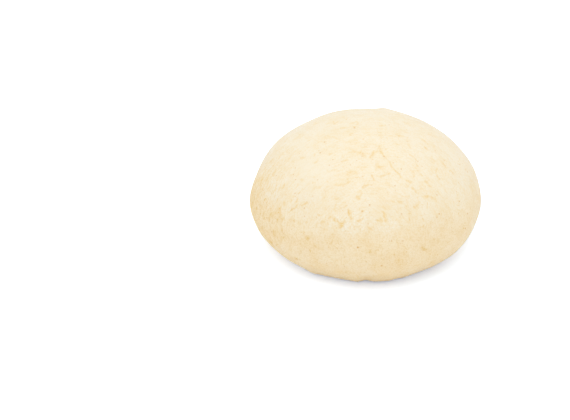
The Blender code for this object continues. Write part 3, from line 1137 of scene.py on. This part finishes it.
def new_group(name, inputs, output):
    """A node group with named numbers going in and one coming out, and the piece's own places."""
    group = bpy.data.node_groups.new(name, "ShaderNodeTree")
    for label, value in inputs.items():
        socket = group.interface.new_socket(label, in_out="INPUT", socket_type="NodeSocketFloat")
        socket.default_value = value
    group.interface.new_socket(output, in_out="OUTPUT", socket_type="NodeSocketFloat")
    enter = group.nodes.new("NodeGroupInput")
    leave = group.nodes.new("NodeGroupOutput")
    return group, enter.outputs, leave.inputs[output], own_place(group)


def mottle_group():
    nothing = dict.fromkeys(MOTTLE_LAYERS, 0.0)
    group, amounts, output, place = new_group("dough_mottle", nothing, "Tan")
    tan = 0.0
    for label, (size, detail, roughness, low, high) in MOTTLE_LAYERS.items():
        where = along_rings(group, place) if label == "Fibres" else place
        layer = span(group, noise(group, where, size, detail, roughness), low, high)
        tan = reckon(group, "MULTIPLY_ADD", layer, amounts[label], tan)
    group.links.new(tan, output)
    return group


MOTTLE = mottle_group()
print("mottle nodes:", len(MOTTLE.nodes))

# %% [markdown]
# ## Strokes and dots
# The tan marks that give the skin its look are short strokes, up to three millimetres long, and
# many small dots between them. A Voronoi texture splits space into cells with a point in each. Where
# the skin passes near a cell's point it is stained, and further along the cell's own direction than
# across it, which makes a stroke. With both lengths alike it makes a dot. Painting them by hand would
# take hundreds, and noise alone gives only clouds.
#
# A cell's direction is a plain draw. The more combed the strokes are, the more it turns to run along
# the same rings as the fibres.

# %% A group for strokes
BEND = 0.5 * MM  # how widely noise bends a stroke out of line
BEND_SIZE = 2.0 * MM
STROKE_EDGE = (0.35, 1.15)  # from where to where it fades out, in squares of its half sizes
FAINTEST = 0.12  # how strong the faintest strokes are


def cell_heading(group, draw, combed):
    """A heading along the skin: the cell's own, turned toward the rings by how combed it is."""
    outward = group.nodes.new("ShaderNodeNewGeometry").outputs["Normal"]
    heading = reckon_vector(group, "SUBTRACT", draw, (0.5, 0.5, 0.5))
    around = reckon_vector(group, "CROSS_PRODUCT", outward, COMB_AXIS)
    heading = reckon_vector(group, "ADD", heading, grow(group, around, combed))
    raised = grow(group, outward, reckon_vector(group, "DOT_PRODUCT", heading, outward))
    return reckon_vector(group, "NORMALIZE", reckon_vector(group, "SUBTRACT", heading, raised))


def squared_over(group, square, half_size):
    """A squared distance, counted in squares of a half size."""
    return reckon(group, "DIVIDE", square, reckon(group, "POWER", half_size, 2.0))


def stroke_group():
    sizes = {"Cell": 3.0 * MM, "Half Width": 0.4 * MM, "Half Length": 1.2 * MM}
    shares = {"Share": 1.0, "Combed": 0.0}
    group, inputs, output, place = new_group("scattered_strokes", sizes | shares, "Mask")
    place = reckon_vector(group, "ADD", place, stray(group, place, BEND_SIZE, BEND))
    in_cells = grow(group, place, reckon(group, "DIVIDE", 1.0, inputs["Cell"]))
    cells = group.nodes.new("ShaderNodeTexVoronoi")
    cells.inputs["Scale"].default_value = 1.0
    group.links.new(in_cells, cells.inputs["Vector"])
    away = reckon_vector(group, "SUBTRACT", in_cells, cells.outputs["Position"])
    away = grow(group, away, inputs["Cell"])
    heading = cell_heading(group, cells.outputs["Color"], inputs["Combed"])
    along = reckon_vector(group, "DOT_PRODUCT", away, heading)
    along = reckon(group, "MULTIPLY", along, along)
    across = reckon(group, "SUBTRACT", reckon_vector(group, "DOT_PRODUCT", away, away), along)
    across = squared_over(group, across, inputs["Half Width"])
    along = squared_over(group, along, inputs["Half Length"])
    stroke = span(group, reckon(group, "ADD", across, along), *STROKE_EDGE, 1.0, 0.0)
    # One draw for each cell says whether it has a stroke, and another how strong that is.
    draws = group.nodes.new("ShaderNodeTexWhiteNoise")
    group.links.new(cells.outputs["Color"], draws.inputs["Vector"])
    chosen = reckon(group, "LESS_THAN", draws.outputs["Value"], inputs["Share"])
    apart = group.nodes.new("ShaderNodeSeparateColor")
    group.links.new(draws.outputs["Color"], apart.inputs["Color"])
    strength = reckon(group, "MULTIPLY", apart.outputs["Green"], apart.outputs["Green"])
    strength = reckon(group, "MULTIPLY_ADD", strength, 1.0 - FAINTEST, FAINTEST)
    mask = reckon(group, "MULTIPLY", reckon(group, "MULTIPLY", stroke, chosen), strength)
    group.links.new(mask, output)
    return group


STROKES = stroke_group()
print("stroke nodes:", len(STROKES.nodes))

# %% [markdown]
# ## Fine grain
# The finest unevenness is about as small as the net's squares, so they can't show it. It goes into
# a bump, which only turns the light. The group puts out a height, and the material's own Bump node
# turns that into a normal.

# %% A group for the grain
FINE_GRAIN = 0.55 * MM
COARSE_GRAIN = 1.5 * MM


def grain_group():
    group, inputs, output, place = new_group("skin_grain", {"Coarse": 0.5}, "Height")
    fine, coarse = noise(group, place, FINE_GRAIN), noise(group, place, COARSE_GRAIN)
    group.links.new(reckon(group, "MULTIPLY_ADD", coarse, inputs["Coarse"], fine), output)
    return group


GRAIN = grain_group()
print("grain nodes:", len(GRAIN.nodes))

# %% [markdown]
# ## Where the skin is livelier
# The mottle isn't even. In the photograph the fibres are clear on the upper front and faint low
# down. One place left of the crown is calm, while the left side and the skin low down are busier. A
# painted mask could say so, but a few fades in the piece's own space do it from every side. At the
# back, which isn't seen, the fibres fade out.

# %% Fades and patches
COMBED_OVER = (-10.0 * MM, 8.0 * MM)  # from where under the axis to where over it the fibres clear
COMBED_LEAST = 0.25  # how clear they are under it
COMBED_BEHIND = (-28.0 * MM, -6.0 * MM)  # from where to where along it they come in
PATCH_EDGE = (0.3, 1.1)  # from where to where a patch fades out, as shares of its reach
FLANK = (-40.0 * MM, -22.0 * MM)  # from where to where the left side grows less mottled
FLANK_BACK = (-8.0 * MM, 10.0 * MM)


def clear_fibres(tree, place):
    """How clear the fibres are: fully over the front of the axis, faintly under it."""
    from_middle = reckon_vector(tree, "SUBTRACT", place, COMB_MIDDLE)
    along = reckon_vector(tree, "DOT_PRODUCT", from_middle, COMB_AXIS)
    over = reckon_vector(tree, "DOT_PRODUCT", from_middle, COMB_SIDE)
    over = span(tree, over, *COMBED_OVER, COMBED_LEAST, 1.0)
    return reckon(tree, "MULTIPLY", over, span(tree, along, *COMBED_BEHIND))


def patch(tree, place, middle, reach, most):
    """A soft round patch: the given amount in its middle and nothing past its reach."""
    away = reckon_vector(tree, "SUBTRACT", place, middle)
    away = reckon_vector(tree, "LENGTH", reckon_vector(tree, "DIVIDE", away, reach))
    return span(tree, away, *PATCH_EDGE, most, 0.0)


def left_flank(tree, place):
    """1 on the front of the left side, fading to 0 elsewhere."""
    leftward = span(tree, axes(tree, place)["X"], *FLANK, 1.0, 0.0)
    frontward = span(tree, axes(tree, place)["Y"], *FLANK_BACK, 1.0, 0.0)
    return reckon(tree, "MULTIPLY", leftward, frontward)


print("the left side is busier from, mm:", round(FLANK[1] / MM, 1), "leftward")

# %% [markdown]
# ## Stains with ragged edges
# A stain on dough soaks out unevenly and is worn faint in places. The points know the way to each
# stain, so its edge is simply a distance from there. Noise added to that way makes the edge ragged,
# and a second noise makes spots of it fainter.

# %% The laid marks, as masks
RAGGED_SIZE = 1.1 * MM  # the unevenness of a stain's edge, and how widely in half widths it goes
RAGGED = 2.4
STAIN_EDGE = (0.0, 1.8)  # from where to where a stain fades out, in half widths
PRICK_EDGE = (0.3, 1.3)
SMOOTH = (0.0, 0.0, 0.0)
BLUSH = 0.58  # how much of its tan a blush shows
WORN_SIZE = 1.1 * MM
WORN_SPAN = (0.38, 0.62)  # of the noise
WORN = (0.45, 1.20)  # how strong a stain is left where it is worn, and where it isn't


def kept(tree, name):
    """A value or a vector that the mesh's points keep."""
    node = tree.nodes.new("ShaderNodeAttribute")
    node.attribute_name = name
    return node.outputs


def stain(tree, name, layers, edge, uneven):
    """A mask for the stains that the mesh's points know the way to, soft over the given edge."""
    total = 0.0
    for number in range(layers):
        way = kept(tree, f"way_to_{name}_{number}")["Vector"]
        distance = reckon_vector(tree, "LENGTH", reckon_vector(tree, "ADD", way, uneven))
        mask = span(tree, distance, *edge, 1.0, 0.0)
        mask = reckon(tree, "MULTIPLY", mask, kept(tree, f"{name}_{number}")["Fac"])
        total = reckon(tree, "MAXIMUM", mask, total)
    return total


def laid_marks(tree, place):
    """How tan the laid marks make each spot."""
    ragged = stray(tree, place, RAGGED_SIZE, RAGGED)
    marks = stain(tree, "tan", TAN_LAYERS, STAIN_EDGE, ragged)
    blush = reckon(tree, "MULTIPLY", kept(tree, "blush")["Fac"], BLUSH)
    worn = span(tree, noise(tree, place, WORN_SIZE), *WORN_SPAN, *WORN)
    return reckon(tree, "MULTIPLY", reckon(tree, "MAXIMUM", marks, blush), worn)


print("stains fade out, half widths:", STAIN_EDGE, "and pin-pricks:", PRICK_EDGE)

# %% [markdown]
# ## All the tan, added up
# Nearly all that shows on the skin is one tan over one cream, so it is added up as a single amount
# and coloured at the end. That is easier to balance than one colour over the other: when a layer is
# made stronger, the rest stays as it is. The strokes come in four sizes, from over two millimetres
# long down to dots, and they gather in crowds.

# %% How tan each spot is
# The painted shade near the foot and at the left side's outer edge is added in as tan too.
# How much each layer of the mottle adds, all over and again on the left side.
MOTTLE_ALL_OVER = {"Patches": 0.16, "Clouds": 0.22, "Grain": 0.45}
FIBRES = 0.29  # where they are clear
MOTTLE_ON_FLANK = {"Patches": 0.0, "Clouds": 0.14, "Fibres": 0.22, "Grain": 0.0}
QUIET_MIDDLE = (-18.7 * MM, -22.0 * MM, 41.0 * MM)  # the calm place left of the crown
QUIET_REACH = (11.0 * MM, 15.0 * MM, 9.0 * MM)
QUIET = 0.45  # how much less lively it is
MARKS_AMOUNT = 0.84  # how much the laid marks add
CROWD_SIZE = 9.0 * MM
CROWD_SPAN = (0.35, 0.65)  # of the noise
CROWD_LEAST = 0.35  # how strong strokes are between the crowds
# Cell, half width and half length (all mm), the share of the cells that have one, and the strength
# on the crown and low on the side.
STROKE_SIZES = (
    (3.2, 0.36, 1.30, 0.9, 0.74, 0.36),
    (2.1, 0.30, 0.75, 0.8, 0.74, 0.54),
    (1.5, 0.23, 0.32, 1.0, 0.82, 0.84),
    (0.85, 0.165, 0.19, 1.0, 0.98, 1.00),
)
BUSY_FLANK = 0.40  # how much more mottled the left side is, and the side low down
BUSY_LOW = 0.44
DEPTH = 0.667  # how near the strongest mottle comes to the full tan
FOOT_SHADE_TOP = 15.0 * MM  # close to the foot the skin is a little more tan all over: painted shade where it turns under
FOOT_SHADE_FULL = 3.0 * MM
FOOT_SHADE = 0.12
FLANK_SHADE_SPAN = (-45.0 * MM, -39.0 * MM)  # from where to where the left side's outer edge gets painted shade, a little more tan
FLANK_SHADE = 0.22


def use_group(tree, group, **values):
    """A node group with plain numbers or other nodes' outputs going in by name."""
    node = tree.nodes.new("ShaderNodeGroup")
    node.node_tree = group
    for label, value in values.items():
        feed(tree, node.inputs[label.replace("_", " ")], value)
    return node.outputs[0]


def strokes(tree, cell, half_width, half_length, share, combed=0.0):
    """Strokes of one size, given in mm, in a share of the cells."""
    sizes = {"Cell": cell * MM, "Half_Width": half_width * MM, "Half_Length": half_length * MM}
    return use_group(tree, STROKES, **sizes, Share=share, Combed=combed)


def tan_and_painted_shade(tree, place, low):
    """How tan each spot is, from 0 to 1, with painted shade near the foot and at the left edge."""
    combed = clear_fibres(tree, place)
    fibres = reckon(tree, "MULTIPLY", combed, FIBRES)
    quiet = patch(tree, place, QUIET_MIDDLE, QUIET_REACH, QUIET)
    livelier = reckon(tree, "SUBTRACT", 1.0, quiet)
    tan = use_group(tree, MOTTLE, Fibres=fibres, **MOTTLE_ALL_OVER)
    tan = reckon(tree, "MULTIPLY", tan, livelier)
    tan = reckon(tree, "MULTIPLY_ADD", laid_marks(tree, place), MARKS_AMOUNT, tan)
    crowd = noise(tree, place, CROWD_SIZE, detail=1.0)
    crowd = span(tree, crowd, *CROWD_SPAN, CROWD_LEAST, 1.0)
    crowd = reckon(tree, "MULTIPLY", crowd, livelier)
    for *sizes, share, amount, amount_low in STROKE_SIZES:
        layer = reckon(tree, "MULTIPLY", strokes(tree, *sizes, share, combed), crowd)
        amount = reckon(tree, "MULTIPLY_ADD", low, amount_low - amount, amount)
        tan = reckon(tree, "MULTIPLY_ADD", layer, amount, tan)
    flank = left_flank(tree, place)
    tan = reckon(tree, "MULTIPLY_ADD", use_group(tree, MOTTLE, **MOTTLE_ON_FLANK), flank, tan)
    busy = reckon(tree, "MULTIPLY_ADD", flank, BUSY_FLANK, 1.0)
    busy = reckon(tree, "MULTIPLY_ADD", low, BUSY_LOW, busy)
    tan = reckon(tree, "MULTIPLY", tan, reckon(tree, "MULTIPLY", busy, DEPTH))
    # Painted shade near the foot: a little more tan all over close to the ground.
    foot_shade = span(tree, axes(tree, place)["Z"], FOOT_SHADE_FULL, FOOT_SHADE_TOP, 1.0, 0.0)
    tan = reckon(tree, "MULTIPLY_ADD", foot_shade, FOOT_SHADE, tan)
    # Painted shade: the left side's outer edge is a little more tan.
    edge = span(tree, axes(tree, place)["X"], *FLANK_SHADE_SPAN, FLANK_SHADE, 0.0)
    tan = reckon(tree, "MULTIPLY_ADD", edge, flank, tan)
    return reckon(tree, "MINIMUM", tan, 1.0)


print("sizes of stroke, mm long:", [round(2.0 * each[2], 2) for each in STROKE_SIZES])

# %% [markdown]
# ## The dough's colour
# The crown is a pale cream. Low on the side it is yellower and darker in green and blue, a painted
# shade of the lower side. A pale speckled band over the front is a painted highlight, where light
# grazes the fine bumps. Over all that come brown pin-pricks, the listed ones and scattered ones,
# faint brown freckles and white flecks. Each is one more colour laid over the last with its own mask.

# %% Cream, tan and brown
PALE = (0.970, 0.862, 0.706, 1.0)
TAN = (0.889, 0.655, 0.277, 1.0)
# Painted shade: the cream and the tan of the lower side, yellower and darker in green and blue.
SHADED_LOW_PALE = (1.000, 0.834, 0.620, 1.0)
SHADED_LOW_TAN = (0.843, 0.606, 0.232, 1.0)
BROWN = (0.800, 0.520, 0.190, 1.0)
WHITE_FLECK = (0.975, 0.920, 0.830, 1.0)
# Painted highlight: a pale speckled band over the front, where light grazes the fine bumps.
GRAZING_HIGHLIGHT = (1.0, 0.915, 0.800, 1.0)
HIGHLIGHT_BAND_MIDDLE = (-3.0 * MM, -39.0 * MM, 29.2 * MM)
HIGHLIGHT_BAND_REACH = (25.0 * MM, 12.0 * MM, 3.8 * MM)
HIGHLIGHT_BAND = 0.95  # how much of the ground the dust covers at the most
HIGHLIGHT_SPECK_SIZE = 0.75 * MM
HIGHLIGHT_SPECK_SPAN = (0.38, 0.64)  # of the noise
# Cell, half width and half length (all mm) and the share of the cells that have one.
PRICK_DOTS = (3.6, 0.24, 0.26, 0.9)
FRECKLE_DOTS = (1.15, 0.20, 0.22, 0.9)
FLECK_DOTS = (1.7, 0.22, 0.28, 0.6)
PRICKS_SCATTERED = 0.40  # how strong each of the three kinds is
FRECKLES = 0.36
FLECKS = 0.60


def dough_colour(tree, place, low, tan):
    """Cream under tan, both with painted shade low on the side, and a band of painted highlight
    in the cream, with brown and white dots on top.
    """
    # The pale speckled band over the front is a painted highlight.
    highlighted = patch(tree, place, HIGHLIGHT_BAND_MIDDLE, HIGHLIGHT_BAND_REACH, HIGHLIGHT_BAND)
    highlight_specks = span(tree, noise(tree, place, HIGHLIGHT_SPECK_SIZE), *HIGHLIGHT_SPECK_SPAN)
    highlighted = reckon(tree, "MULTIPLY", highlighted, highlight_specks)
    # Low on the side, cream and tan turn to their darker copies: painted shade.
    ground = blend(tree, highlighted, blend(tree, low, PALE, SHADED_LOW_PALE), GRAZING_HIGHLIGHT)
    colour = blend(tree, tan, ground, blend(tree, low, TAN, SHADED_LOW_TAN))
    dots = reckon(tree, "MULTIPLY", strokes(tree, *PRICK_DOTS), PRICKS_SCATTERED)
    dots = reckon(tree, "MULTIPLY_ADD", strokes(tree, *FRECKLE_DOTS), FRECKLES, dots)
    brown = stain(tree, "brown", BROWN_LAYERS, PRICK_EDGE, SMOOTH)
    colour = blend(tree, reckon(tree, "MAXIMUM", dots, brown), colour, BROWN)
    flecks = reckon(tree, "MULTIPLY", strokes(tree, *FLECK_DOTS), FLECKS)
    return blend(tree, flecks, colour, WHITE_FLECK)


print("pale, tan and brown:", PALE[:3], TAN[:3], BROWN[:3])

# %% [markdown]
# ## The dough's finish
# Dough lets a little light in, which softens its small shadows. A second, see-through layer could
# do that, but the shader's own subsurface share is plainer. Its light goes a little over a
# millimetre deep, alike for red, green and blue. The surface is satin: dry enough to have no shine,
# smooth enough for a soft gleam, and a little duller where it is tan.

# %% The material of the skin
LOW_TOP = 33.0 * MM  # where the painted shade of the lower side starts, and where it is full
LOW_FULL = 19.5 * MM
SATIN, DULL = 0.46, 0.62  # the roughness where it is pale, and where it is tan
COARSE = 0.6  # how much of the coarse grain goes with the fine one
GRAIN_HEIGHT = 0.05 * MM
DOUGH_IOR = 1.4
LIGHT_LET_IN = 0.6
LIGHT_REACH = 1.8 * MM
COLOUR_REACH = (0.7, 0.7, 0.7)  # the share of that reach for red, green and blue


def dough_finish(name):
    material, shader = principled(name, PALE, SATIN)
    tree = material.node_tree
    place = own_place(tree)
    # 1 low on the side: it sets the painted shade there, and the strokes' strength low down.
    low = span(tree, axes(tree, place)["Z"], LOW_FULL, LOW_TOP, 1.0, 0.0)
    tan = tan_and_painted_shade(tree, place, low)
    tree.links.new(dough_colour(tree, place, low, tan), shader.inputs["Base Color"])
    tree.links.new(span(tree, tan, 0.0, 1.0, SATIN, DULL), shader.inputs["Roughness"])
    relief = tree.nodes.new("ShaderNodeBump")
    relief.inputs["Distance"].default_value = GRAIN_HEIGHT
    relief.inputs["Strength"].default_value = 1.0
    tree.links.new(use_group(tree, GRAIN, Coarse=COARSE), relief.inputs["Height"])
    tree.links.new(relief.outputs["Normal"], shader.inputs["Normal"])
    shader.inputs["IOR"].default_value = DOUGH_IOR
    shader.inputs["Subsurface Weight"].default_value = LIGHT_LET_IN
    shader.inputs["Subsurface Radius"].default_value = COLOUR_REACH
    shader.inputs["Subsurface Scale"].default_value = LIGHT_REACH
    return material


mesh.materials.append(dough_finish("steamed_skin"))
print("skin's own nodes:", len(mesh.materials[0].node_tree.nodes))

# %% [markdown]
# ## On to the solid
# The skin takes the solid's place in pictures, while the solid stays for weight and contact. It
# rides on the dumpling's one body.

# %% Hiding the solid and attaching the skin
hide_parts("dumpling")
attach(skin_piece, "root")
